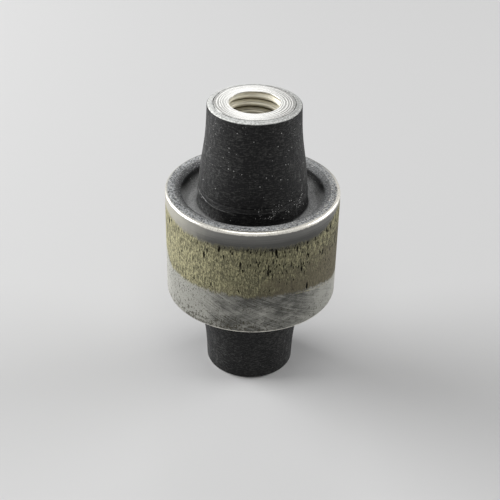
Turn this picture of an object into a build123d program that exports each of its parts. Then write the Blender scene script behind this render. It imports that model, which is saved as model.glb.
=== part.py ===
from build123d import *
import os

# Rubber metal bush: a threaded inner core and a short outer sleeve, both turned from aluminium,
# vulcanised into one double-cone rubber body. Millimetres, +Z along the bush's axis.
# The origin is the centre of the lower end face, on which the bush stands.

# Outer sleeve: a length of tube with its outer corners broken
SLEEVE_OUTER_D = 36.0
SLEEVE_WALL = 2.0
SLEEVE_LENGTH = 24.0
SLEEVE_CORNER_BREAK = 0.45

# Inner core: a bar with a tapped hole right through it
CORE_LENGTH = 62.0
CORE_D = 18.6
TAP_DRILL_D = 10.2          # for an M12 x 1.75 thread
BORE_EDGE_BREAK = 0.15
END_LAND_D = 16.0           # the bright faced land on each end
END_BEVEL_DROP = 0.3        # how far the ring round the land falls away towards its rim
SEAL_RING_WIDTH = 0.3       # fine ring round the land, left by the mould's seal
SEAL_RING_DEPTH = 0.15

# Rubber cones over the core. Each skin is the rubber's thickness over the core.
CONE_FOOT_SKIN = 2.4        # at the groove's floor
CONE_EASE_SKIN = 0.45       # where the straight taper stops
CONE_END_SKIN = 0.12        # at the small end
CONE_EASE_LENGTH = 7.0      # the last stretch, where the taper eases to the core's width
CONE_END_DRAFT = -1.5       # degrees: the rubber has shrunk in a little behind the core's rim
CONE_SETBACK = 0.1          # the rubber stops this far short of the core's rim

# Annular groove between each cone and the sleeve
LIP_WIDTH = 1.2             # flush rubber land between the groove's mouth and the sleeve
GROOVE_DEPTH = 3.8
GROOVE_FLOOR_SHARE = 0.53   # flat floor, as a share of the mouth's width; the outer wall leans over the rest
GROOVE_FOOT_ROUND = 0.75    # sweep from the floor up into the cone

SLEEVE_R = SLEEVE_OUTER_D / 2
SLEEVE_BORE_R = SLEEVE_R - SLEEVE_WALL
CORE_R = CORE_D / 2
END_LAND_R = END_LAND_D / 2
BORE_R = TAP_DRILL_D / 2
HALF_CORE = CORE_LENGTH / 2
HALF_SLEEVE = SLEEVE_LENGTH / 2


def turned(*half_outline):
    """Mirror the closed outline of the bush's upper half, revolve both and stand them on the origin."""
    upper = make_face(half_outline)
    section = upper + mirror(upper, about=Plane.XZ)
    return Pos(0, 0, HALF_CORE) * revolve(Plane.XZ * section, Axis.Z)


def outer_sleeve():
    """Tube with its outer corners broken."""
    return turned(
        Polyline(
            (SLEEVE_BORE_R, 0),
            (SLEEVE_R, 0),
            (SLEEVE_R, HALF_SLEEVE - SLEEVE_CORNER_BREAK),
            (SLEEVE_R - SLEEVE_CORNER_BREAK, HALF_SLEEVE),
            (SLEEVE_BORE_R, HALF_SLEEVE),
            (SLEEVE_BORE_R, 0),
        )
    )


def rubber_body():
    """Tapered cone, groove and flush lip of the one-piece rubber."""
    floor_height = HALF_SLEEVE - GROOVE_DEPTH
    end_height = HALF_CORE - END_BEVEL_DROP - CONE_SETBACK
    mouth_r = SLEEVE_BORE_R - LIP_WIDTH
    foot_r = CORE_R + CONE_FOOT_SKIN
    floor_width = (mouth_r - foot_r) * GROOVE_FLOOR_SHARE

    cone_foot = (foot_r, floor_height)
    cone_ease = (CORE_R + CONE_EASE_SKIN, end_height - CONE_EASE_LENGTH)
    cone_end = (CORE_R + CONE_END_SKIN, end_height)
    sleeve_mouth = (SLEEVE_BORE_R, HALF_SLEEVE)

    inside = Polyline(cone_end, (CORE_R, end_height), (CORE_R, 0), (SLEEVE_BORE_R, 0), sleeve_mouth)
    groove = FilletPolyline(
        sleeve_mouth,
        (mouth_r, HALF_SLEEVE),
        (foot_r + floor_width, floor_height),
        cone_foot,
        cone_ease,
        radius=[0, 0, min(GROOVE_FOOT_ROUND, 0.9 * floor_width)],
    )
    ease = TangentArc(cone_end, cone_ease, tangent=Vector(0, -1).rotate(Axis.Z, CONE_END_DRAFT))
    return turned(inside, groove, ease)


def inner_core():
    """Bar with a tapped through hole, a faced land and a bevelled ring on each end."""
    return turned(
        Polyline(
            (BORE_R, 0),
            (CORE_R, 0),
            (CORE_R, HALF_CORE - END_BEVEL_DROP),
            (END_LAND_R + SEAL_RING_WIDTH, HALF_CORE),
            (END_LAND_R + SEAL_RING_WIDTH / 2, HALF_CORE - SEAL_RING_DEPTH),
            (END_LAND_R, HALF_CORE),
            (BORE_R + BORE_EDGE_BREAK, HALF_CORE),
            (BORE_R, HALF_CORE - BORE_EDGE_BREAK),
            (BORE_R, 0),
        )
    )


os.makedirs("parts", exist_ok=True)
for build_piece in (outer_sleeve, rubber_body, inner_core):
    export_step(build_piece(), f"parts/{build_piece.__name__}.step")
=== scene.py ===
"""Looks of a rubber metal bush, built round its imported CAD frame.

The bush is a threaded aluminium core and a short aluminium sleeve, bonded into one double-cone
rubber body. Sizes in the classes are millimetres; meshes are handed over in metres.
"""

import logging
import math
from dataclasses import dataclass, replace
from enum import Enum
from typing import Sequence, Union

import bmesh
import bpy
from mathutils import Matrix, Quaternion, Vector


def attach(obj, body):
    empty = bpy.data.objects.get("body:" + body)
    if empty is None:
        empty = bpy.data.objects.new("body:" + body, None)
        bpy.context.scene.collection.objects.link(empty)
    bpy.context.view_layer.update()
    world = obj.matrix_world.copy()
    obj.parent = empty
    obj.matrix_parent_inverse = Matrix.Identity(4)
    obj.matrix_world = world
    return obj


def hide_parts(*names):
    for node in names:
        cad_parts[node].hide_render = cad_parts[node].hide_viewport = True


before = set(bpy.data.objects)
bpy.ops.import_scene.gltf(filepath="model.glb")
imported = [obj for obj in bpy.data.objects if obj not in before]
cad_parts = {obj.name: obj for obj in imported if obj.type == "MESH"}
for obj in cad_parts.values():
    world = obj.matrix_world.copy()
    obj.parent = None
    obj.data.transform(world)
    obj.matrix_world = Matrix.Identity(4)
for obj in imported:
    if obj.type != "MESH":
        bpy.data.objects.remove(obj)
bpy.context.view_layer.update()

LOG = logging.getLogger("bush")
MM = 0.001
FULL_TURN = 2 * math.pi
WELD_DISTANCE = 1e-4
SHARP_ANGLE = math.radians(32)

Feed = Union["Signal", float, Sequence[float]]
Colour = tuple[float, float, float]


class Slot(Enum):
    """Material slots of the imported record."""

    CORE = "core_metal"
    SLEEVE = "sleeve_metal"
    RUBBER = "rubber"


# ---------------------------------------------------------------- shader maths


def shade(colour: Sequence[float], by: float) -> tuple[float, ...]:
    """A colour made darker or paler by a factor."""
    return tuple(channel * by for channel in colour)


@dataclass(frozen=True)
class Grain:
    """One kind of noise.

    across and along are its features per unit, across the axis and along it. detail and rough are
    the number and the strength of its finer octaves. twist slants it round the axis, in radians
    for each millimetre of height.
    """

    across: float
    along: float
    detail: float = 2.0
    rough: float = 0.5
    twist: float = 0.0


@dataclass(frozen=True)
class Spots:
    """One kind of small round spot: cells per unit, its radius as a share of a cell, its solid share."""

    scale: float
    size: float
    crisp: float


class Signal:
    """A value on its way through a material; arithmetic on it adds Math nodes."""

    def __init__(self, recipe: "Recipe", socket: bpy.types.NodeSocket) -> None:
        """Wraps one output socket of the recipe's node tree."""
        self.recipe = recipe
        self.socket = socket

    def math(self, operation: str, *terms: Feed) -> "Signal":
        """Adds one Math node.

        Args:
            operation: the node's operation, such as "ADD".
            terms: its inputs, in order.
        Returns:
            The node's result.
        """
        return self.recipe.node("ShaderNodeMath", {"operation": operation}, dict(enumerate(terms)))

    def __add__(self, other: Feed) -> "Signal":
        """self + other."""
        return self.math("ADD", self, other)

    def __radd__(self, other: Feed) -> "Signal":
        """other + self."""
        return self.math("ADD", other, self)

    def __sub__(self, other: Feed) -> "Signal":
        """self - other."""
        return self.math("SUBTRACT", self, other)

    def __rsub__(self, other: Feed) -> "Signal":
        """other - self."""
        return self.math("SUBTRACT", other, self)

    def __mul__(self, other: Feed) -> "Signal":
        """self * other."""
        return self.math("MULTIPLY", self, other)

    def __rmul__(self, other: Feed) -> "Signal":
        """other * self."""
        return self.math("MULTIPLY", other, self)

    def __truediv__(self, other: Feed) -> "Signal":
        """self / other."""
        return self.math("DIVIDE", self, other)

    def __pow__(self, other: Feed) -> "Signal":
        """self ** other."""
        return self.math("POWER", self, other)

    def __neg__(self) -> "Signal":
        """-self."""
        return self.math("MULTIPLY", self, -1.0)

    def __abs__(self) -> "Signal":
        """abs(self)."""
        return self.math("ABSOLUTE", self)

    def least(self, other: Feed) -> "Signal":
        """The smaller of self and other."""
        return self.math("MINIMUM", self, other)

    def most(self, other: Feed) -> "Signal":
        """The larger of self and other."""
        return self.math("MAXIMUM", self, other)

    def sine(self) -> "Signal":
        """The sine of self."""
        return self.math("SINE", self)

    def cosine(self) -> "Signal":
        """The cosine of self."""
        return self.math("COSINE", self)


class Recipe:
    """The node tree of one material."""

    def __init__(self, name: str) -> None:
        """Starts an empty material of that name."""
        self.material = bpy.data.materials.new(name)
        self.material.use_nodes = True
        self.tree = self.material.node_tree
        self.tree.nodes.clear()

    def node(
        self, kind: str, settings: dict | None = None, sockets: dict | None = None, out: int | str = 0
    ) -> Signal:
        """Adds one node.

        Args:
            kind: the node's type.
            settings: its properties, set first.
            sockets: values or signals for its inputs, by name or number.
            out: the output that is handed back.
        Returns:
            That output, or an empty signal if the node has none.
        """
        made = self.tree.nodes.new(kind)
        for key, value in (settings or {}).items():
            setattr(made, key, value)
        for key, value in (sockets or {}).items():
            if isinstance(value, Signal):
                self.tree.links.new(value.socket, made.inputs[key])
            else:
                made.inputs[key].default_value = value
        return Signal(self, made.outputs[out] if len(made.outputs) else None)

    def place(self) -> tuple[Signal, Signal, Signal]:
        """The point's x, y and z on the piece, in millimetres."""
        here = self.node("ShaderNodeTexCoord", out="Object")
        scaled = self.node("ShaderNodeVectorMath", {"operation": "SCALE"}, {0: here, "Scale": 1 / MM})
        return tuple(self.node("ShaderNodeSeparateXYZ", None, {0: scaled}, out=axis) for axis in "XYZ")

    def vector(self, x: Feed, y: Feed, z: Feed) -> Signal:
        """Joins three values into a vector."""
        return self.node("ShaderNodeCombineXYZ", None, {0: x, 1: y, 2: z})

    def noise(self, where: Signal, grain: Grain) -> Signal:
        """Smooth noise between 0 and 1, about 0.5 on average.

        Args:
            where: the vector it reads, already at the grain's scales.
            grain: its finer octaves.
        Returns:
            The noise's value.
        """
        sockets = {"Vector": where, "Scale": 1.0, "Detail": grain.detail, "Roughness": grain.rough}
        return self.node("ShaderNodeTexNoise", None, sockets)

    def specks(self, where: Signal, spots: Spots, share: Feed) -> Signal:
        """Small round spots in a few of the cells of a Voronoi pattern.

        Args:
            where: the vector it reads.
            spots: the spots' kind.
            share: the share of the cells that hold a spot.
        Returns:
            1 in a spot and 0 outside.
        """
        cell = {"Vector": where, "Scale": spots.scale, "Randomness": 1.0}
        near = self.node("ShaderNodeTexVoronoi", None, cell, out="Distance")
        tint = self.node("ShaderNodeTexVoronoi", None, cell, out="Color")
        chosen = self.node("ShaderNodeSeparateColor", None, {0: tint}, out=0)
        wide = self.node("ShaderNodeSeparateColor", None, {0: tint}, out=1)
        smallest, hard_edge = 0.35, 0.002
        reach = spots.size * (smallest + (1 - smallest) * wide)
        return self.fade(chosen + share, 1.0, 1.0 + hard_edge) * self.fall(near / reach, spots.crisp, 1)

    def fade(self, value: Signal, low: float, high: float) -> Signal:
        """A smooth step, from 0 at low up to 1 at high."""
        sockets = {"Value": value, "From Min": low, "From Max": high}
        return self.node("ShaderNodeMapRange", {"interpolation_type": "SMOOTHSTEP"}, sockets)

    def fall(self, value: Signal, low: float, high: float) -> Signal:
        """A smooth step, from 1 at low down to 0 at high."""
        return 1 - self.fade(value, low, high)

    def band(self, offset: Signal, near: float, far: float) -> Signal:
        """1 where the offset is less than near on either side of 0, and 0 beyond far."""
        return self.fall(abs(offset), near, far)

    def blend(self, share: Feed, first: Feed, second: Feed) -> Signal:
        """Mixes two colours."""
        first, second = (side if isinstance(side, Signal) else (*side, 1.0) for side in (first, second))
        return self.node("ShaderNodeMix", {"data_type": "RGBA"}, {0: share, 6: first, 7: second}, out=2)

    def between(self, share: Signal, first: Feed, second: Feed) -> Signal:
        """Mixes two numbers."""
        return self.node("ShaderNodeMix", {"data_type": "FLOAT"}, {0: share, 2: first, 3: second}, out=0)

    def relief(self, height: Signal) -> Signal:
        """A bump normal from a height in millimetres."""
        return self.node("ShaderNodeBump", None, {"Height": height, "Distance": MM, "Strength": 1.0})

    def surface(self, **sockets: Feed) -> bpy.types.Material:
        """Ends the recipe in a Principled shader.

        Args:
            sockets: its inputs, with underscores for the spaces in their names.
        Returns:
            The finished material.
        """
        fed = {key.replace("_", " "): value for key, value in sockets.items()}
        shader = self.node("ShaderNodeBsdfPrincipled", None, fed)
        self.node("ShaderNodeOutputMaterial", None, {"Surface": shader})
        return self.material


@dataclass(frozen=True)
class Round:
    """Where a point lies on a turned piece."""

    x: Signal
    y: Signal
    z: Signal
    radius: Signal
    cos: Signal
    sin: Signal

    @classmethod
    def of(cls, recipe: Recipe) -> "Round":
        """Works the values out in a recipe, in millimetres."""
        x, y, z = recipe.place()
        radius = (x * x + y * y) ** 0.5
        return cls(x, y, z, radius, x / radius, y / radius)

    def stretched(self, recipe: Recipe, across: float, along: float) -> Signal:
        """The point as a vector, with its own scale across the axis and along it."""
        return recipe.vector(self.x * across, self.y * across, self.z * along)

    def noise(self, recipe: Recipe, grain: Grain) -> Signal:
        """Noise through the piece, its streaks upright or at the grain's slant."""
        if not grain.twist:
            return recipe.noise(self.stretched(recipe, grain.across, grain.along), grain)
        angle = self.z * grain.twist
        cos, sin = angle.cosine(), angle.sine()
        x, y = self.x * cos - self.y * sin, self.x * sin + self.y * cos
        return recipe.noise(recipe.vector(x * grain.across, y * grain.across, self.z * grain.along), grain)

    def noises(self, recipe: Recipe, *grains: Grain) -> list[Signal]:
        """Noise through the piece for each of several grains."""
        return [self.noise(recipe, grain) for grain in grains]

    def ringed(self, recipe: Recipe, grain: Grain, level: Signal) -> Signal:
        """Noise in rings round the axis.

        Args:
            recipe: the recipe to work in.
            grain: the noise; its scale along is for the level.
            level: what changes from ring to ring: the height or the radius.
        Returns:
            The noise's value.
        """
        where = recipe.vector(self.cos * grain.across, self.sin * grain.across, level * grain.along)
        return recipe.noise(where, grain)


# ---------------------------------------------------------------- turned meshes


@dataclass(frozen=True)
class Corner:
    """A corner of a turned outline, and how far it is rounded."""

    radius: float
    height: float
    soften: float = 0.0
    steps: int = 5


class Lathe:
    """Draws an outline and spins it round the axis."""

    def __init__(self, segments: int) -> None:
        """Takes the number of segments in a full turn."""
        self.segments = segments

    def outline(self, corners: Sequence[Corner], closed: bool) -> bmesh.types.BMesh:
        """Draws an outline in the XZ plane, with its corners rounded.

        Args:
            corners: the outline's corners in order.
            closed: whether the last corner joins the first.
        Returns:
            A new mesh that holds only the outline's edges.
        """
        bm = bmesh.new()
        verts = [bm.verts.new((corner.radius, 0.0, corner.height)) for corner in corners]
        for first, second in zip(verts, verts[1:] + verts[:1] if closed else verts[1:]):
            bm.edges.new((first, second))
        for vert, corner in zip(verts, corners):
            if corner.soften:
                bmesh.ops.bevel(
                    bm, geom=[vert], offset=corner.soften, segments=corner.steps, profile=0.5,
                    affect="VERTICES", material=-1,
                )
        return bm

    def turn(self, bm: bmesh.types.BMesh) -> bmesh.types.BMesh:
        """Spins the outline through a full turn."""
        bmesh.ops.spin(
            bm, geom=bm.verts[:] + bm.edges[:], cent=(0, 0, 0), axis=(0, 0, 1),
            angle=FULL_TURN, steps=self.segments, use_merge=True,
        )
        return bm


def open_edges(bm: bmesh.types.BMesh, near: float, reach: float) -> list[bmesh.types.BMEdge]:
    """The open edges that lie within reach of the height called near."""
    return [
        edge
        for edge in bm.edges
        if edge.is_boundary and all(abs(vert.co.z - near) < reach for vert in edge.verts)
    ]


@dataclass
class Piece:
    """A visible piece that stands for one CAD node."""

    node: str
    slot: Slot

    def hand_over(self, bm: bmesh.types.BMesh, material: bpy.types.Material) -> bpy.types.Object:
        """Makes the object, dresses it and ties it to the frame.

        Args:
            bm: the finished mesh, in millimetres.
            material: its finish.
        Returns:
            The new object.
        """
        bmesh.ops.remove_doubles(bm, verts=bm.verts, dist=WELD_DISTANCE)
        bmesh.ops.recalc_face_normals(bm, faces=bm.faces)
        bmesh.ops.scale(bm, verts=bm.verts, vec=(MM, MM, MM))
        for face in bm.faces:
            face.smooth = True
        for edge in bm.edges:
            edge.smooth = edge.calc_face_angle(0.0) < SHARP_ANGLE
        mesh = bpy.data.meshes.new(f"{self.node}_detailed")
        bm.to_mesh(mesh)
        bm.free()
        mesh.materials.append(material)
        made = bpy.data.objects.new(mesh.name, mesh)
        bpy.context.scene.collection.objects.link(made)
        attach(made, "root")
        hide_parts(self.node)
        LOG.info("%s: %d faces in the slot %s", made.name, len(mesh.polygons), self.slot.value)
        return made


# ---------------------------------------------------------------- finishes
#
# On every piece the front is the side at -y, the left the side at -x and the right the side at +x,
# so at.cos runs from -1 at the left to 1 at the right, and -at.sin is 1 in front.


@dataclass(frozen=True)
class WornAluminium:
    """The sleeve's outside: grey band, band of stuck residue, scratched bare band, with painted light on
    the bands' left and right sides, and painted shade in the residue's pits and on the lip's left.
    """

    bare: Colour = (0.153, 0.152, 0.138)
    dull: Colour = (0.125, 0.124, 0.118)
    # painted light: the pale yellow that the dull band turns to on its lit left side
    painted_light_cream: Colour = (0.44, 0.425, 0.365)
    polished: Colour = (0.90, 0.87, 0.79)
    straw: Colour = (0.455, 0.425, 0.245)
    olive: Colour = (0.150, 0.141, 0.077)
    brown: Colour = (0.105, 0.083, 0.052)
    umber: Colour = (0.052, 0.046, 0.030)
    # painted shade: near-black for the hollows of the pits
    pit_shade: Colour = (0.006, 0.005, 0.003)
    end_grey: Colour = (0.24, 0.246, 0.25)

    # Heights above the floor: the residue's mean edges, and the middle of it, where the bare band
    # gives way to the dull one. The drop and the rises are how far its edges leave the mean.
    residue_foot: float = 27.9
    residue_top: float = 39.2
    residue_middle: float = 33.0
    right_drop: float = 9.5
    left_lift: float = 2.2
    right_rise: float = 2.6

    cloud: Grain = Grain(0.30, 0.40, 3.0, 0.55)
    flakes: Grain = Grain(3.0, 0.8, 3.0, 0.6)
    fibres: Grain = Grain(7.0, 1.7, 2.0, 0.6)
    ragged: Grain = Grain(1.3, 0.5, 4.0, 0.7)
    hairs: Grain = Grain(3.6, 0.8, 3.0, 0.65, twist=0.22)
    brushed: Grain = Grain(5.5, 0.35, 3.0, 0.6, twist=0.105)
    crossed: Grain = Grain(4.5, 0.30, 3.0, 0.6, twist=-0.16)
    scores: Grain = Grain(3.2, 0.5, 3.0, 0.7, twist=0.13)
    lines: Grain = Grain(1.2, 7.0, 3.0, 0.6)
    gouges: Grain = Grain(2.5, 0.60, 2.0, 0.55)
    pinholes: Grain = Grain(4.4, 2.6, 2.0, 0.55)
    stray: Grain = Grain(2.3, 2.0, 3.0, 0.7)
    speckle: Grain = Grain(3.2, 3.2, 3.0, 0.75)
    sparks: Grain = Grain(2.3, 2.3, 2.0, 0.6)
    slots: Spots = Spots(1.0, 0.50, 0.6)
    small_slots: Spots = Spots(1.9, 0.42, 0.55)

    def material(self, top: float, bottom: float, outside: float) -> bpy.types.Material:
        """Builds the finish.

        Args:
            top: height of the sleeve's upper end.
            bottom: height of its lower end.
            outside: its outer radius.
        Returns:
            The material.
        """
        r = Recipe("worn_aluminium")
        at = Round.of(r)
        cloud, flakes, fibres, ragged = at.noises(r, self.cloud, self.flakes, self.fibres, self.ragged)
        brushed, crossed = at.noises(r, self.brushed, self.crossed)
        speckle, sparks = at.noises(r, self.speckle, self.sparks)

        wander = (cloud - 0.5) * 1.8 + (ragged - 0.5) * 3.6 + (fibres - 0.5) * 2.6
        lower = self._lower_edge(r, at)
        stained, fringe = self._stained(r, at, wander, lower)
        holes = self._holes(r, at, stained, cloud)
        metal = self._specked(r, at, self._metal(r, at, brushed, crossed, cloud, lower), bottom)
        wall = r.blend(stained, metal, self._stain(r, at, flakes, fibres, cloud))
        # painted shade: the small pits along the residue's upper edge are coloured near-black
        wall = r.blend(fringe * r.fade(fibres, 0.42, 0.60), wall, self.pit_shade)
        straw_line = r.band(at.z - lower + 0.45, 0.05, 0.17) * r.fade(at.cos, 0.45, 0.55)
        wall = r.blend(straw_line * r.fade(flakes, 0.46, 0.54) * 0.55, wall, self.straw)
        # painted shade: the pits are coloured near-black, as the shade in their hollows
        wall = r.blend(holes, wall, self.pit_shade)

        thin = r.fade(-at.cos, 0.40, 0.90)
        behind = r.fade(at.sin, 0.0, 0.7)
        outer_end = r.fade(at.radius - thin * 0.22, outside - 0.80, outside - 0.48)
        on_end = r.fall((top - at.z).least(at.z - bottom), 0.02, 0.12) * (1 - outer_end)
        from_end = (top - at.z).least(at.z - bottom + 0.22)
        lip = r.fall(from_end + (ragged - 0.5) * 0.45 + thin * 0.32, 0.48, 0.76)
        lip = lip * outer_end * (1 - behind * r.fade(speckle, 0.30, 0.46))
        bright = r.blend(r.fade(sparks, 0.34, 0.46), shade(self.polished, 0.78), self.polished)
        # painted shade: the polished lip's colour is dimmed towards the left side
        bright = r.blend(r.fade(-at.cos, 0.2, 0.8) * 0.30, bright, self.end_grey)
        end_face = self._end_face(r, at, speckle, sparks, behind)
        colour = r.blend(lip, r.blend(on_end, wall, end_face), bright)

        rough = r.between(stained, 0.44 + 0.12 * cloud, 0.74)
        rough = r.between(lip, r.between(on_end, rough, 0.55), 0.22 + 0.12 * speckle)
        shiny = r.between(stained, 0.80, 0.10).most(holes)
        shiny = r.between(lip, r.between(on_end, shiny, 0.35), 1.0)
        crust = stained * ((flakes - 0.5) * 0.16 + (fibres - 0.5) * 0.12) - 0.22 * holes
        brushing = (brushed + crossed - 1.0) * 0.035 * (1 - stained)
        normal = r.relief((crust + brushing + on_end * (speckle - 0.5) * 0.16) * (1 - lip * 0.9))
        return r.surface(Base_Color=colour, Metallic=shiny, Roughness=rough, Normal=normal)

    def _lower_edge(self, r: Recipe, at: Round) -> Signal:
        """Mean height of the residue's lower edge: lower on the right, higher far on the left."""
        drop = self.right_drop * (at.cos - 0.42).most(0.0) ** 2
        return self.residue_foot - drop + self.left_lift * r.fade(-at.cos, 0.90, 1.0)

    def _stained(self, r: Recipe, at: Round, wander: Signal, lower: Signal) -> tuple[Signal, Signal]:
        """Where the residue sticks, and the line of small pits along its upper edge, which is coloured with
        the pits' painted shade.
        """
        rise = r.fade(-at.cos, 0.62, 1.02) + r.fade(at.cos, 0.72, 1.02) * self.right_rise
        upper = self.residue_top + rise + wander * 0.45
        low = lower + wander * 0.55
        stained = r.fade(at.z - low, -0.4, 0.5) * r.fall(at.z - upper, -0.4, 0.6)
        fringe = r.band(at.z - upper + 0.35, 0.15, 0.75) * r.band(at.cos - 0.1, 0.40, 0.70)
        return stained, fringe

    def _stain(self, r: Recipe, at: Round, flakes: Signal, fibres: Signal, cloud: Signal) -> Signal:
        """Colour of the residue: straw to the left, olive in front, browner low on the right."""
        brown = r.fade(at.cos + (cloud - 0.5) * 2.0 - (at.z - self.residue_middle) * 0.12, 0.0, 0.9)
        tuft = flakes * 0.45 + fibres * 0.55
        left = r.fade(-at.cos, -0.3, 0.8)
        right = r.fade(at.cos, 0.25, 0.90) * r.fade(at.z, 32.0, 35.5)
        patches = r.fade(cloud + left * 0.10 - brown * 0.12, 0.40, 0.60)
        deep = r.blend(patches, shade(self.olive, 0.72), shade(self.olive, 1.15))
        gaps = r.fade(0.48 - tuft, 0.0, 0.09) * (0.62 - 0.18 * left)
        deep = r.blend(gaps * (0.55 + 0.45 * r.fade(at.z, 29.0, 35.0)), deep, self.umber)
        deep = r.blend(brown * 0.55, deep, self.brown)
        tuft = tuft + left * 0.02 + right * 0.02 + (at.noise(r, self.hairs) - 0.5) * 0.36 - 0.006
        cover = 0.70 + 0.30 * left + 0.18 * right - 0.55 * brown
        return r.blend(r.fade(tuft, 0.495, 0.58) * cover, deep, self.straw)

    def _holes(self, r: Recipe, at: Round, stained: Signal, cloud: Signal) -> Signal:
        """Upright pits in the residue, thickest high on the right, and pinholes low on the left; they are
        coloured near-black as painted shade in their hollows.
        """
        dense = r.fade(at.cos, -0.35, 0.35) * r.fade(at.z + (cloud - 0.5) * 6.0, 32.0, 35.0)
        gouges = r.fade(at.noise(r, self.gouges) + dense * 0.03 + (cloud - 0.5) * 0.08, 0.665, 0.68)
        edge = r.band(at.z - self.residue_top + 0.6, 0.3, 1.3) * r.band(at.cos - 0.1, 0.35, 0.65)
        crowded = dense.most(edge)
        few = 0.04 + 0.12 * r.fade(at.z, 31.0, 35.0)
        upright = at.stretched(r, 1.5, 0.42)
        slots = r.specks(upright, self.slots, few + 0.80 * crowded)
        slots = slots.most(r.specks(upright, self.small_slots, few + 0.60 * crowded))
        low_left = r.fade(-at.cos, 0.30, 0.75) * r.band(at.z - 26.5, 2.0, 5.0)
        pins = r.fade(at.noise(r, self.pinholes) + low_left * 0.05, 0.65, 0.68) * stained.most(low_left)
        return (gouges.most(slots) * r.fade(stained, 0.3, 0.7)).most(pins * 0.85)

    def _metal(
        self, r: Recipe, at: Round, brushed: Signal, crossed: Signal, cloud: Signal, lower: Signal
    ) -> Signal:
        """Colour of the bare band below the residue and the duller one above it, with painted light: both
        are paler on their lit left and right sides, the bare band has a painted highlight along its far
        left edge, and the dull band turns pale yellow towards the left.
        """
        left = r.fade(-at.cos, 0.15, 0.95)
        right = r.fade(at.cos, 0.35, 0.9)
        # left and right add painted light: the bare band is paler on its lit sides
        light = brushed * 0.45 + crossed * 0.20 + cloud * 0.35 + left * 0.27 + right * 0.14
        bare = r.blend(r.fade(light, 0.43, 0.66), shade(self.bare, 0.56), shade(self.bare, 2.7))
        # painted highlight along the bare band's far left edge
        bare = r.blend(r.fade(-at.cos, 0.86, 0.99) * 0.2, bare, shade(self.bare, 4.5))
        near = r.band(at.z - lower + 1.5, 0.6, 2.3) * r.band(at.cos - 0.12, 0.2, 0.5)
        scores = r.fade(at.noise(r, self.scores) + near * 0.07, 0.60, 0.68)
        bare = r.blend(scores * 0.7, bare, shade(self.bare, 0.25))
        upward = r.fade(at.z, 39.0, 42.4)
        # left adds painted light to the dull band
        grey = at.ringed(r, self.lines, at.z) * 0.30 + cloud * 0.10 + upward * 0.30 + left * 0.12
        dull = r.blend(r.fade(grey, 0.22, 0.62), shade(self.dull, 0.70), shade(self.dull, 1.75))
        # painted light: the dull band turns pale yellow towards the left
        dull = r.blend(r.fade(-at.cos + (cloud - 0.5) * 0.3, 0.35, 0.98) * 0.75, dull, self.painted_light_cream)
        return r.blend(r.fade(at.z, self.residue_middle, self.residue_middle + 1.0), bare, dull)

    def _end_face(self, r: Recipe, at: Round, speckle: Signal, sparks: Signal, behind: Signal) -> Signal:
        """Colour of the tube's end face: grey grain with bright sparks, calmer at the back right."""
        face = r.blend(r.fade(speckle, 0.38, 0.62), shade(self.end_grey, 0.20), shade(self.end_grey, 2.5))
        face = r.blend(r.fade(sparks + at.cos * 0.03, 0.60, 0.66) * 0.8, face, self.polished)
        return r.blend(behind * r.fade(at.cos, -0.2, 0.4) * 0.5, face, self.end_grey)

    def _specked(self, r: Recipe, at: Round, metal: Signal, bottom: float) -> Signal:
        """Olive specks on the bare metal, gathered along the lower edge."""
        low = r.fall(at.z - bottom, 0.5, 5.0)
        left_of_front = r.band(at.cos + 0.40, 0.25, 0.75)
        speck = at.noise(r, self.stray) + low * 0.02 + left_of_front * low * 0.10
        marks = r.fade(speck, 0.60, 0.64) * r.fall(at.z, 28.0, 30.0)
        return r.blend(marks * 0.8, metal, self.umber)


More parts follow.
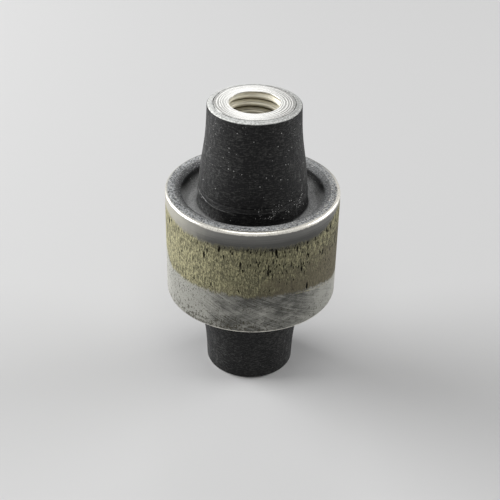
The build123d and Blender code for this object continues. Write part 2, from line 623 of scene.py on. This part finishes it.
@dataclass(frozen=True)
class DustyRubber:
    """Moulded black rubber, dusty and scuffed, with painted light over the groove's shade and on the cone's
    sides, and a painted shadow and highlight at the crease.
    """

    black: Colour = (0.003, 0.003, 0.0035)
    worn: Colour = (0.042, 0.042, 0.040)
    dust: Colour = (0.30, 0.302, 0.30)
    film: Colour = (0.310, 0.317, 0.322)
    speck: Colour = (0.88, 0.88, 0.86)

    # The radius of the cone's foot, and the height of its crease above the middle.
    foot: float = 11.6
    crease: float = 12.85
    gloss: float = 0.22

    scuffs: Grain = Grain(10.0, 5.0, 4.0, 0.7)
    dashes: Grain = Grain(7.0, 7.5, 2.0, 0.6)
    streaks: Grain = Grain(1.9, 0.45, 4.0, 0.7)
    grain: Grain = Grain(2.6, 2.6, 4.0, 0.75)
    fine: Grain = Grain(3.6, 3.6, 2.0, 0.6)
    cloud: Grain = Grain(0.25, 0.2, 2.0, 0.5)
    clumps: Grain = Grain(0.8, 0.8, 2.0, 0.6)
    fine_grit: Spots = Spots(3.0, 0.46, 0.4)
    coarse_grit: Spots = Spots(1.5, 0.28, 0.5)
    fine_specks: Spots = Spots(1.9, 0.24, 0.2)
    lone_specks: Spots = Spots(0.7, 0.12, 0.3)

    def material(self, middle: float, mouth: float, floor: float, rim: float) -> bpy.types.Material:
        """Builds the finish.

        Args:
            middle: half the bush's height, about which the two ends mirror each other.
            mouth: radius of the groove's mouth.
            floor: height of the groove's floor above the middle.
            rim: height of the groove's rim above the middle.
        Returns:
            The material.
        """
        r = Recipe("dusty_rubber")
        at = Round.of(r)
        up = abs(at.z - middle)
        upper_half = r.fade(at.z, middle - 1, middle + 1)
        cone = r.fall(at.radius, self.foot, self.foot + 0.6)
        side = r.fade(abs(at.cos), 0.25, 0.95)
        scuffs, dashes = at.ringed(r, self.scuffs, at.z), at.ringed(r, self.dashes, at.z)
        streaks, grain, fine, cloud = at.noises(r, self.streaks, self.grain, self.fine, self.cloud)

        scuffed = r.fade(scuffs * 0.55 + grain * 0.35 + cloud * 0.10, 0.505, 0.565)
        skin = r.blend(scuffed, self.black, self.worn)
        # dust streaks, heaviest on the cone's left and right edges, where they also paint the sheen those
        # edges catch
        edge = r.fade(abs(at.cos), 0.82, 0.98)
        dust_and_sheen_streaks = r.fade(streaks + side * 0.06, 0.58, 0.74) * (0.20 + 0.10 * edge) * side * cone
        skin = r.blend(dust_and_sheen_streaks, skin, self.dust)
        skin = r.blend(r.fade(dashes + cloud * 0.1, 0.70, 0.78) * 0.22, skin, self.dust)

        # dust on the groove's floor and lower walls, and painted light: paler and higher up the walls at
        # the sides and front, and right up to the cone's foot, over the groove's shade
        open_side = r.fade(-at.sin, -0.25, 0.25) * side
        dust_and_painted_light = r.fall(up - floor - open_side * 2.2, 0.3, 2.6)
        dust_and_painted_light = dust_and_painted_light * r.fade(grain * 0.7 + cloud * 0.2 + side * 0.45 - at.cos * 0.07, 0.52, 0.98)
        dust_and_painted_light = dust_and_painted_light * (0.62 + 0.50 * r.fade(fine, 0.36, 0.62))
        off_cone = r.fade(at.radius, self.foot - 0.18, self.foot + 0.15) * upper_half
        skin = r.blend(dust_and_painted_light * off_cone, skin, shade(self.dust, 2.3))

        ahead = r.fade(-at.sin, 0.6, 0.95)
        on_lip = r.fade(at.radius - ahead * 0.35, mouth - 0.25, mouth + 0.15) * r.fall(rim - up, 0.55, 0.95)
        on_lip = on_lip * upper_half
        film = r.blend(r.fade(fine + at.cos * 0.08, 0.42, 0.58), shade(self.film, 0.35), self.film)
        outermost = r.fade(at.radius, mouth + 0.45, mouth + 1.0)
        film = r.blend(outermost * r.fade(grain, 0.42, 0.58), film, self.dust)
        skin = r.blend(on_lip * r.fade(grain, 0.30, 0.48), skin, film)
        flecks = r.fade(fine + at.cos * 0.02 - at.sin * 0.02, 0.64, 0.68) * on_lip
        skin = r.blend(flecks, skin, self.speck)

        # dust and painted light on the cone's foot at the left, where it lifts the contact shade
        at_foot = r.fall(up, floor + 1.2, floor + 3.4) * r.fade(-at.cos, 0.45, 0.95) * upper_half
        skin = r.blend(at_foot * r.fade(grain, 0.36, 0.60) * cone * 0.6, skin, self.dust)
        # painted shadow in the moulding nick's crease on the front left, and a painted highlight just below
        # it
        crease = up - self.crease + 2.6 * (at.cos + 0.97).least(0.28)
        in_front = r.fade(-at.sin, 0.05, 0.15) * upper_half
        painted_crease_shadow = r.band(crease, 0.05, 0.16) * r.fade(-at.cos, 0.66, 0.80) * in_front
        skin = r.blend(painted_crease_shadow, skin, shade(self.black, 0.3))
        painted_crease_highlight = r.band(crease + 0.30, 0.03, 0.13) * r.fade(-at.cos, 0.25, 0.60) * in_front
        skin = r.blend(painted_crease_highlight * r.fade(grain, 0.36, 0.56) * 0.8, skin, self.dust)

        specks = self._specks(r, at, up, floor)
        skin = r.blend(specks * (0.15 + 0.85 * upper_half), skin, self.speck)
        rough = 0.48 + 0.22 * grain + 0.12 * dust_and_painted_light
        height = (grain - 0.5) * 0.10 + (scuffs - 0.5) * 0.11 + (dashes - 0.5) * 0.09
        normal = r.relief(height + specks * 0.06 + flecks * 0.05 - painted_crease_shadow * 0.12)
        return r.surface(Base_Color=skin, Roughness=rough, Normal=normal, Specular_IOR_Level=self.gloss)

    def _specks(self, r: Recipe, at: Round, up: Signal, floor: float) -> Signal:
        """Pale specks all over, and grit that has gathered low on the cone's front right."""
        here = r.vector(at.x, at.y, at.z)
        front_right = r.fade(at.cos, 0.0, 0.15) * r.fall(at.cos, 0.88, 0.97) * r.fade(-at.sin, 0.2, 0.4)
        low = r.fade(up, floor + 2.2, floor + 3.2) * r.fall(up, floor + 5.2, floor + 6.2)
        clumps = r.fade(at.noise(r, self.clumps), 0.46, 0.62) * front_right * low
        grit = r.specks(here, self.fine_grit, clumps * 0.9)
        grit = grit.most(r.specks(here, self.coarse_grit, clumps * 0.7))
        strewn = r.specks(here, self.fine_specks, 0.20).most(r.specks(here, self.lone_specks, 0.25))
        return strewn.most(grit)


@dataclass(frozen=True)
class FacedAluminium:
    """The core's ends: a bright faced land, a greyer ring round it, tan thread inside, with painted shade
    in the thread's root and deeper in the bore.
    """

    bright: Colour = (0.545, 0.542, 0.52)
    ring: Colour = (0.55, 0.555, 0.54)
    grime: Colour = (0.05, 0.048, 0.042)
    tan: Colour = (0.95, 0.91, 0.77)
    # brown: the thread's darker colour, for painted shade in its root and deep in the bore, and for its
    # helical lines
    brown: Colour = (0.16, 0.14, 0.09)

    ring_rate: float = 12.0
    ring_drift: float = 9.0
    lines_per_turn: float = 3.0

    turned: Grain = Grain(0.8, 9.0, 3.0, 0.65)
    drift: Grain = Grain(0.6, 1.5, 2.0, 0.6)
    streak: Grain = Grain(0.8, 3.2, 2.0, 0.6)
    grain: Grain = Grain(3.0, 3.0, 3.0, 0.65)
    cloud: Grain = Grain(0.5, 0.5, 2.0, 0.5)

    def material(self, length: float, land: float, pitch: float, major: float) -> bpy.types.Material:
        """Builds the finish.

        Args:
            length: the core's length.
            land: radius of the bright land.
            pitch: the thread's rise in one turn.
            major: the thread's outer radius.
        Returns:
            The material.
        """
        r = Recipe("faced_aluminium")
        at = Round.of(r)
        turned, drift = at.ringed(r, self.turned, at.radius), at.ringed(r, self.drift, at.radius)
        streak = at.ringed(r, self.streak, at.z)
        grain, cloud = at.noises(r, self.grain, self.cloud)
        rings = (at.radius * self.ring_rate + drift * self.ring_drift).sine() * (0.5 + drift)

        outer = r.fade(at.radius, land - 0.06, land + 0.04)
        bright = r.blend(r.fade(turned, 0.35, 0.65), shade(self.bright, 0.93), self.bright)
        # the -at.cos term adds painted light: the ring's mottle is paler towards the left
        mottle = r.fade(grain * 0.6 + turned * 0.4 - at.cos * 0.03, 0.42, 0.58)
        face = r.blend(outer, bright, r.blend(mottle, shade(self.ring, 0.72), shade(self.ring, 1.35)))
        filled = 0.55 + 0.45 * r.fade(cloud * 0.6 + grain * 0.4, 0.47, 0.55)
        in_ring = r.band(at.radius - land - 0.14, 0.08, 0.20) * filled
        face = r.blend(in_ring * 0.9, face, self.grime)

        from_end = at.z.least(length - at.z)
        bore = r.fall(at.radius, major + 0.02, major + 0.1) * r.fade(from_end, 0.1, 0.2)
        colour = r.blend(bore, face, self._thread(r, at, from_end, streak, pitch, major))
        matt = 0.5 + 0.3 * r.fade(at.radius, land + 0.9, land + 1.15)
        rough = r.between(outer, 0.16 + 0.12 * grain, matt)
        rough = r.between(bore, rough, 0.38 + 0.2 * streak)
        flat = (turned - 0.5) * 0.012 + rings * 0.009 * (1 - outer) + (grain - 0.5) * 0.05 * outer
        height = r.between(bore, flat, (streak - 0.5) * 0.10)
        shiny = r.between(bore, 0.95, 0.2)
        return r.surface(Base_Color=colour, Metallic=shiny, Roughness=rough, Normal=r.relief(height))

    def _thread(
        self, r: Recipe, at: Round, from_end: Signal, streak: Signal, pitch: float, major: float
    ) -> Signal:
        """Colour of the thread: tan, with painted shade in its root and deeper inside the bore, and three
        dark helical lines to each pitch.
        """
        # painted shade: the thread's root is darkened
        root = r.fade(at.radius, major - 0.12, major - 0.02)
        # painted shade: darker deeper inside the bore
        inside = r.fade(from_end, 1.6, 4.5) * 0.36
        # three dark helical lines to each pitch, following the thread
        turn = at.z * (FULL_TURN / pitch) - at.y.math("ARCTAN2", at.y, at.x)
        helix_lines = r.fade((turn * self.lines_per_turn).sine(), 0.55, 0.95) * r.fade(streak, 0.36, 0.52)
        return r.blend(root * 0.9 + helix_lines * 0.55 + inside, self.tan, self.brown)


# ---------------------------------------------------------------- the bush's pieces


@dataclass
class OuterSleeve(Piece):
    """Tube with a polished rounded lip at each end."""

    node: str = "outer_sleeve"
    slot: Slot = Slot.SLEEVE
    outside: float = 18.0
    bore: float = 16.0
    bottom: float = 19.0
    top: float = 43.0
    lip_round: float = 0.55
    inner_break: float = 0.04
    segments: int = 256
    finish: WornAluminium = WornAluminium()

    def build(self) -> bpy.types.Object:
        """Builds and dresses the sleeve."""
        lathe = Lathe(self.segments)
        bm = lathe.outline(
            [
                Corner(self.bore, self.bottom, self.inner_break, 2),
                Corner(self.outside, self.bottom, self.lip_round, 7),
                Corner(self.outside, self.top, self.lip_round, 7),
                Corner(self.bore, self.top, self.inner_break, 2),
            ],
            closed=True,
        )
        lathe.turn(bm)
        return self.hand_over(bm, self.finish.material(self.top, self.bottom, self.outside))


@dataclass
class RubberBody(Piece):
    """Double cone with a groove between each cone and the sleeve.

    Heights are above the middle; neck and swell are the (radius, height) of the cone's two bends.
    """

    node: str = "rubber_body"
    slot: Slot = Slot.RUBBER
    middle: float = 31.0
    bore: float = 9.3
    outside: float = 16.0
    half_sleeve: float = 12.0
    cone_end: float = 30.6
    end_radius: float = 9.41
    neck: tuple[float, float] = (9.68, 24.3)
    swell: tuple[float, float] = (10.98, 15.9)
    cone_ease: float = 2.4
    nick: float = 13.05
    flash: float = 12.12
    foot: float = 11.45
    foot_round: float = 1.45
    groove_wall: float = 13.45
    mouth: float = 14.8
    groove_depth: float = 3.8
    segments: int = 224
    finish: DustyRubber = DustyRubber()

    def half_outline(self) -> list[Corner]:
        """The upper half, from the cone's small end down to the sleeve, as heights above the middle."""
        floor, rim = self.half_sleeve - self.groove_depth, self.half_sleeve
        cone = [
            Corner(self.bore, self.cone_end),
            Corner(self.end_radius, self.cone_end, 0.06, 3),
            Corner(*self.neck, self.cone_ease, 8),
            Corner(*self.swell, self.cone_ease, 8),
        ]
        moulding_nick = [
            Corner(11.16, self.nick + 0.13, 0.03, 2),
            Corner(11.02, self.nick),
            Corner(11.17, self.nick - 0.13, 0.03, 2),
        ]
        flash_ridge = [
            Corner(11.24, self.flash + 0.18, 0.05, 2),
            Corner(11.37, self.flash, 0.04, 3),
            Corner(11.27, self.flash - 0.20, 0.06, 2),
        ]
        groove = [
            Corner(self.foot, floor, self.foot_round, 9),
            Corner(self.groove_wall, floor, 0.50, 6),
            Corner(self.mouth, rim - 0.45, 0.25, 6),
        ]
        lip = [
            Corner(self.outside - 0.35, rim - 0.06, 0.25, 3),
            Corner(self.outside - 0.05, rim - 0.04, 0.03, 2),
            Corner(self.outside, rim - 0.15),
        ]
        return cone + moulding_nick + flash_ridge + groove + lip

    def build(self) -> bpy.types.Object:
        """Builds and dresses the rubber."""
        upper = self.half_outline()
        corners = [replace(corner, height=self.middle + corner.height) for corner in upper]
        corners += [replace(corner, height=self.middle - corner.height) for corner in reversed(upper)]
        lathe = Lathe(self.segments)
        bm = lathe.turn(lathe.outline(corners, closed=True))
        floor = self.half_sleeve - self.groove_depth
        return self.hand_over(bm, self.finish.material(self.middle, self.mouth, floor, self.half_sleeve))


@dataclass
class InnerCore(Piece):
    """Bar with a faced land at each end and a right-handed thread right through it."""

    node: str = "inner_core"
    slot: Slot = Slot.CORE
    length: float = 62.0
    outside: float = 9.3
    land: float = 8.0
    seal_width: float = 0.3
    seal_depth: float = 0.15
    bevel_drop: float = 0.3
    land_round: float = 0.03
    seal_round: float = 0.04
    rim_round: float = 0.09
    minor: float = 5.1
    major: float = 6.0
    pitch: float = 1.75
    crest_ease: float = 0.06
    root_ease: float = 0.08
    mouth_break: float = 0.05
    runout: float = 1.6
    phase: float = 0.40
    segments: int = 192
    finish: FacedAluminium = FacedAluminium()

    def shell(self) -> bmesh.types.BMesh:
        """Both faces and the outside, open at the two mouths."""
        lower = [
            Corner(self.minor + self.mouth_break, 0.0),
            Corner(self.land, 0.0, self.land_round, 2),
            Corner(self.land + self.seal_width / 2, self.seal_depth),
            Corner(self.land + self.seal_width, 0.0, self.seal_round, 2),
            Corner(self.outside, self.bevel_drop, self.rim_round, 4),
        ]
        upper = [replace(corner, height=self.length - corner.height) for corner in reversed(lower)]
        lathe = Lathe(self.segments)
        return lathe.turn(lathe.outline(lower + upper, closed=False))

    def thread(self) -> bmesh.types.BMesh:
        """The threaded wall, cut level with the mouths."""
        bm = bmesh.new()
        crest, flank = self.pitch / 4, self.pitch * 5 / 16
        steep, at_root = flank * 0.93, flank * 1.08
        tooth = [
            (self.minor, 0.0),
            (self.minor, crest * 0.86),
            (self.minor + self.crest_ease, crest),
            (self.major - self.root_ease, crest + steep),
            (self.major, crest + at_root),
            (self.major, self.pitch - at_root),
            (self.major - self.root_ease, self.pitch - steep),
            (self.minor + self.crest_ease, self.pitch - 0.04),
        ]
        below, spare = 2, 3
        verts = [
            bm.verts.new((radius, 0.0, (turn - below) * self.pitch + height + self.phase * self.pitch))
            for turn in range(math.ceil(self.length / self.pitch) + spare)
            for radius, height in tooth
        ]
        edges = [bm.edges.new(pair) for pair in zip(verts, verts[1:])]
        rise = (0, 0, self.pitch / self.segments)
        bmesh.ops.spin(
            bm, geom=verts + edges, cent=(0, 0, 0), axis=(0, 0, 1), dvec=rise,
            angle=FULL_TURN, steps=self.segments, use_merge=False,
        )
        bmesh.ops.remove_doubles(bm, verts=bm.verts, dist=1e-3)
        for vert in bm.verts:
            self._run_out(vert)
        for height, up in ((self.mouth_break, -1), (self.length - self.mouth_break, 1)):
            bmesh.ops.bisect_plane(
                bm, geom=bm.verts[:] + bm.edges[:] + bm.faces[:], dist=1e-5,
                plane_co=(0, 0, height), plane_no=(0, 0, up), clear_outer=True,
            )
        return bm

    def _run_out(self, vert: bmesh.types.BMVert) -> None:
        """Makes the thread shallower where it comes to a mouth."""
        radius = math.hypot(vert.co.x, vert.co.y)
        from_end = min(vert.co.z, self.length - vert.co.z)
        share = max(0.0, min(1.0, (from_end - self.mouth_break) / self.runout))
        share = share * share * (3 - 2 * share)
        wanted = self.minor + (radius - self.minor) * share
        vert.co.x *= wanted / radius
        vert.co.y *= wanted / radius

    def build(self) -> bpy.types.Object:
        """Builds and dresses the core."""
        bm = self.shell()
        wall = self.thread()
        carried = bpy.data.meshes.new("thread_wall")
        wall.to_mesh(carried)
        wall.free()
        bm.from_mesh(carried)
        bpy.data.meshes.remove(carried)
        for height in (0.0, self.length):
            bmesh.ops.bridge_loops(bm, edges=open_edges(bm, height, reach=1.0))
        return self.hand_over(bm, self.finish.material(self.length, self.land, self.pitch, self.major))


# ---------------------------------------------------------------- the studio


@dataclass(frozen=True)
class Lamp:
    """A soft rectangular lamp that points at the bush's middle."""

    name: str
    place: tuple[float, float, float]
    size: tuple[float, float]
    power: float


@dataclass
class Studio:
    """Pale floor, soft lamps, and the camera.

    Places are in millimetres, the floor's reach and the camera's clipping in metres, the roll in degrees.
    """

    floor_reach: float = 2.5
    floor_segments: int = 96
    floor_tone: float = 0.66
    world_tone: float = 0.66
    world_light: float = 0.26
    aim: tuple[float, float, float] = (-0.307, 0.0, 27.495)
    camera_place: tuple[float, float, float] = (-0.307, -193.1, 153.1)
    lens: float = 77.9
    sensor: float = 36.0
    roll: float = 1.215
    clip: tuple[float, float] = (0.01, 10.0)
    lamps: tuple[Lamp, ...] = (
        Lamp("overhead", (-40.0, -330.0, 790.0), (560.0, 460.0), 1.62),
        Lamp("back", (-20.0, 700.0, 470.0), (130.0, 700.0), 0.44),
        Lamp("left", (-730.0, 190.0, 290.0), (660.0, 540.0), 9.4),
        Lamp("right", (740.0, 190.0, 305.0), (540.0, 480.0), 3.9),
    )

    def build(self) -> None:
        """Lays the floor, hangs the lamps, sets the world and the camera."""
        self._floor()
        self._world()
        for lamp in self.lamps:
            self._hang(lamp)
        self._camera()
        bpy.context.scene.view_settings.view_transform = "Standard"

    def _floor(self) -> None:
        """A large pale disc under the bush."""
        bm = bmesh.new()
        bmesh.ops.create_circle(bm, cap_ends=True, segments=self.floor_segments, radius=self.floor_reach)
        mesh = bpy.data.meshes.new("floor")
        bm.to_mesh(mesh)
        bm.free()
        tone = (self.floor_tone,) * 3 + (1.0,)
        paint = Recipe("pale_floor").surface(Base_Color=tone, Roughness=0.85, Specular_IOR_Level=0.2)
        mesh.materials.append(paint)
        floor = bpy.data.objects.new("floor", mesh)
        bpy.context.scene.collection.objects.link(floor)

    def _world(self) -> None:
        """Even light from all round; eyes and reflections see the paler backdrop."""
        world = bpy.data.worlds.new("studio")
        bpy.context.scene.world = world
        world.use_nodes = True
        nodes, links = world.node_tree.nodes, world.node_tree.links
        nodes.clear()
        path = nodes.new("ShaderNodeLightPath")
        seen = path.outputs["Is Camera Ray"]
        for name in ("Is Glossy Ray", "Is Transmission Ray"):
            either = nodes.new("ShaderNodeMath")
            either.operation = "MAXIMUM"
            links.new(seen, either.inputs[0])
            links.new(path.outputs[name], either.inputs[1])
            seen = either.outputs[0]
        mix = nodes.new("ShaderNodeMixShader")
        links.new(seen, mix.inputs[0])
        for number, strength in ((1, self.world_light), (2, 1.0)):
            sky = nodes.new("ShaderNodeBackground")
            sky.inputs["Color"].default_value = (self.world_tone,) * 3 + (1.0,)
            sky.inputs["Strength"].default_value = strength
            links.new(sky.outputs[0], mix.inputs[number])
        output = nodes.new("ShaderNodeOutputWorld")
        links.new(mix.outputs[0], output.inputs[0])

    def _hang(self, lamp: Lamp) -> None:
        """Hangs one lamp."""
        data = bpy.data.lights.new(lamp.name, "AREA")
        data.shape = "RECTANGLE"
        data.size, data.size_y = (side * MM for side in lamp.size)
        data.energy = lamp.power
        made = bpy.data.objects.new(lamp.name, data)
        made.location = Vector(lamp.place) * MM
        made.rotation_mode = "QUATERNION"
        made.rotation_quaternion = (Vector(self.aim) - Vector(lamp.place)).to_track_quat("-Z", "Y")
        made.visible_camera = False
        bpy.context.scene.collection.objects.link(made)

    def _camera(self) -> None:
        """Sets the camera, looking down at the bush from the front."""
        data = bpy.data.cameras.new("camera")
        data.lens, data.sensor_width = self.lens, self.sensor
        data.clip_start, data.clip_end = self.clip
        made = bpy.data.objects.new("camera", data)
        made.location = Vector(self.camera_place) * MM
        look = (Vector(self.aim) - Vector(self.camera_place)).to_track_quat("-Z", "Y")
        made.rotation_mode = "QUATERNION"
        made.rotation_quaternion = look @ Quaternion((0, 0, 1), math.radians(self.roll))
        bpy.context.scene.collection.objects.link(made)
        bpy.context.scene.camera = made


def main() -> None:
    """Builds the pieces and the studio."""
    logging.basicConfig(level=logging.INFO, format="%(name)s: %(message)s")
    for piece in (OuterSleeve(), RubberBody(), InnerCore()):
        piece.build()
    Studio().build()


if __name__ == "__main__":
    main()
